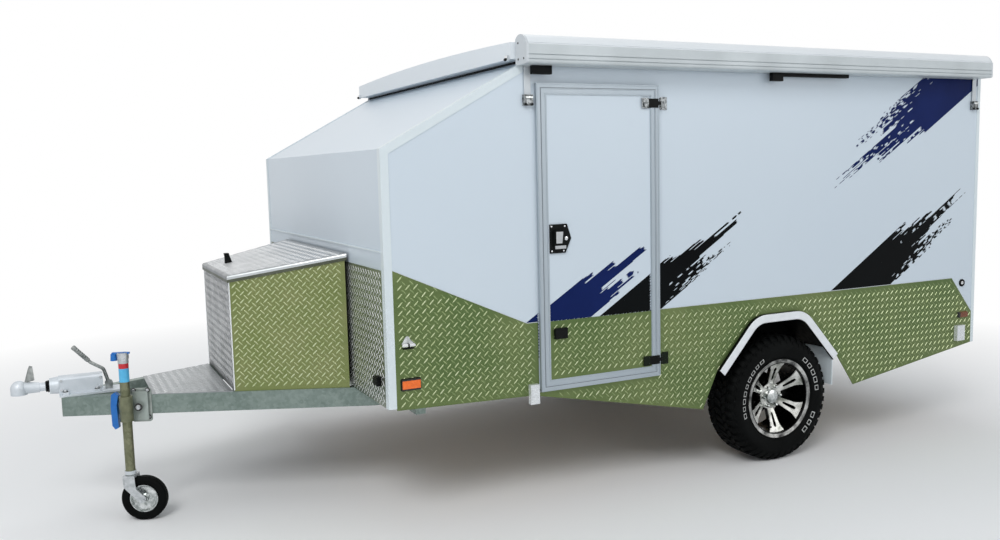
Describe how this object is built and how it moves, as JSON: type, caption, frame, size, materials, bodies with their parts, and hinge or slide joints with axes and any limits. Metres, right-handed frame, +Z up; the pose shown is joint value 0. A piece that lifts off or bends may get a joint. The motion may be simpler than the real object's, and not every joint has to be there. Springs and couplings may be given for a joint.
{
  "type": "off-road camper trailer",
  "caption": "Lift-roof camper trailer with hinged side door, front toolbox, side awning, road wheels and swing-up jockey stand.",
  "frame": {"origin": "on the ground, midway along the overall length and midway across the overall width, awning included; the centre line lies at Y = 0.04925 m", "axes": "+X to the rear, -Y the door side (left of travel), +Z up"},
  "size_m": [5.713, 2.5486, 2.392],
  "materials": {
    "white_panel": "smooth white composite panel",
    "white_metal": "white powder coat",
    "tread_plate": "bright tread plate",
    "galvanised": "hot-dip galvanised",
    "cast_zinc": "zinc plated casting",
    "aluminium_frame": "mill finish extrusion",
    "floor_board": "sealed plywood",
    "black_plastic": "moulded black",
    "bright_steel": "plated steel",
    "lamp_lens": "amber and red lenses",
    "tyre_rubber": "black rubber",
    "alloy": "machined alloy",
    "seal_rubber": "black seal",
    "blue_plastic": "blue moulding",
    "black_steel": "black chassis paint"
  },
  "bodies": {
    "trailer": {"drawbar_rails": "galvanised", "chassis_rails": "galvanised", "cross_members": "galvanised", "coupling_housing": "cast_zinc", "coupling_head": "cast_zinc", "coupling_levers": "cast_zinc", "tread_tray": "tread_plate", "toolbox_body": "tread_plate", "floor_panel": "floor_board", "front_wall": "white_panel", "nose_panel": "white_panel", "rear_wall": "white_panel", "side_wall_left": "white_panel", "side_wall_right": "white_panel", "skirt_left": "tread_plate", "skirt_right": "tread_plate", "end_plates": "tread_plate", "corner_trims": "white_metal", "mudguards": "white_metal", "mud_flaps": "white_metal", "door_hinge_leaves": "bright_steel", "roof_seal": "seal_rubber", "wall_fittings": "bright_steel", "lamps": "lamp_lens", "axle_beam": "black_steel", "leaf_springs": "black_steel", "spring_fittings": "black_steel", "jockey_mount": "cast_zinc"},
    "toolbox_lid": {"toolbox_lid": "tread_plate", "lid_handle": "black_plastic"},
    "door": {"door_frame": "aluminium_frame", "door_leaf": "white_panel", "door_plate": "tread_plate", "door_fittings": "black_plastic"},
    "roof": {"roof_cap": "white_panel", "awning_cassette": "white_metal", "awning_caps": "white_metal", "awning_fittings": "black_plastic", "roof_straps": "white_metal"},
    "wheel_left": {"tyre_left": "tyre_rubber", "wheel_left": "alloy"},
    "wheel_right": {"tyre_right": "tyre_rubber", "wheel_right": "alloy"},
    "jockey_stand": {"jockey_clamp": "cast_zinc", "jockey_tube": "galvanised", "jockey_handles": "blue_plastic"},
    "jockey_leg": {"jockey_leg": "galvanised"},
    "jockey_fork": {"jockey_fork": "galvanised"},
    "castor": {"castor_tyre": "tyre_rubber", "castor_rim": "bright_steel"}
  },
  "joints": [
    {"name": "door_swing", "type": "hinge", "parent": "trailer", "child": "door", "pos_m": [0.3075, -1.16225, 1.395], "axis": [0, 0, 1], "range_deg": [0, 150]},
    {"name": "lid_swing", "type": "hinge", "parent": "trailer", "child": "toolbox_lid", "pos_m": [-1.2585, 0.04925, 1.3325], "axis": [0, 1, 0], "range_deg": [0, 70]},
    {"name": "roof_lift", "type": "slide", "parent": "trailer", "child": "roof", "axis": [0, 0, 1], "range_m": [0, 0.5]},
    {"name": "wheel_left_spin", "type": "hinge", "parent": "trailer", "child": "wheel_left", "pos_m": [1.1685, -1.03325, 0.372], "axis": [0, 1, 0], "continuous": true},
    {"name": "wheel_right_spin", "type": "hinge", "parent": "trailer", "child": "wheel_right", "pos_m": [1.1685, 1.13175, 0.372], "axis": [0, 1, 0], "continuous": true},
    {"name": "jockey_swing", "type": "hinge", "parent": "trailer", "child": "jockey_stand", "pos_m": [-2.25194, -0.17297, 0.584], "axis": [-0.3971, -0.9178, 0], "range_deg": [0, 90]},
    {"name": "jockey_wind", "type": "slide", "parent": "jockey_stand", "child": "jockey_leg", "axis": [0, 0, -1], "range_m": [0, 0.25]},
    {"name": "jockey_swivel", "type": "hinge", "parent": "jockey_leg", "child": "jockey_fork", "pos_m": [-2.33089, -0.21944, 0.24], "axis": [0, 0, 1], "continuous": true},
    {"name": "castor_roll", "type": "hinge", "parent": "jockey_fork", "child": "castor", "pos_m": [-2.27123, -0.24525, 0.114], "axis": [-0.3971, -0.9178, 0], "continuous": true}
  ]
}
